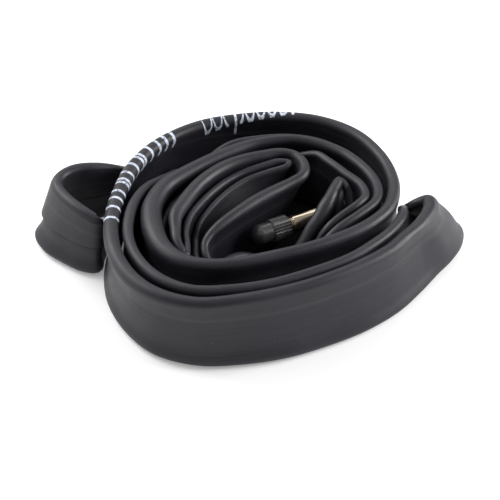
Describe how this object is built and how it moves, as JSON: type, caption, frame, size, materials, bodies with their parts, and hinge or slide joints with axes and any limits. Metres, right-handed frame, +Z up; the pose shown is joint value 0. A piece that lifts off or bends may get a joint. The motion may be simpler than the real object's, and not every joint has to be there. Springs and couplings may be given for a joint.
{
  "type": "rolled bicycle inner tube",
  "caption": "Deflated rubber bicycle inner tube pressed flat and rolled into a loose coil, with a schrader valve and a screw-on domed dust cap in the middle.",
  "frame": {"origin": "middle of the roll's bounding box, on the surface it stands on", "axes": "+Z up, +X along the roll's longest side towards the folded right-hand end, +Y towards the back of the roll"},
  "size_m": [0.1876, 0.1418, 0.0332],
  "materials": {
    "tube_rubber": "matt black butyl rubber with a dusting of talc",
    "valve_rubber": "moulded black rubber",
    "stem_metal": "bright nickel plate over brass, lightly worn",
    "core_brass": "turned brass",
    "spring_steel": "drawn steel wire",
    "cap_plastic": "black moulded plastic with a soft sheen"
  },
  "bodies": {
    "tube": {"inner_tube": "tube_rubber", "valve_base": "valve_rubber", "valve_stem": "stem_metal", "core_barrel": "core_brass", "core_gasket": "valve_rubber", "core_spring_seat": "core_brass", "core_spring": "spring_steel"},
    "pin": {"core_pin": "core_brass", "core_seal": "valve_rubber", "core_cup": "core_brass"},
    "cap_carrier": {"cap_gasket": "valve_rubber"},
    "cap": {"valve_cap": "cap_plastic"}
  },
  "joints": [
    {"name": "cap_lift", "type": "slide", "parent": "tube", "child": "cap_carrier", "axis": [-0.8527, -0.5196, 0.0545], "range_m": [0, 0.0055]},
    {"name": "cap_turn", "type": "hinge", "parent": "cap_carrier", "child": "cap", "pos_m": [0.01325, -0.00085, 0.01678], "axis": [-0.8527, -0.5196, 0.0545], "range_deg": [0, 2520]},
    {"name": "core_pin_press", "type": "slide", "parent": "tube", "child": "pin", "axis": [0.8527, 0.5196, -0.0545], "range_m": [0, 0.0013], "stiffness_N_per_m": 600, "springref_m": -0.002, "deforming": ["core_spring"]}
  ],
  "couplings": [
    {"joint": "cap_turn", "follows": "cap_lift", "rad_per_m": 7913.3}
  ]
}
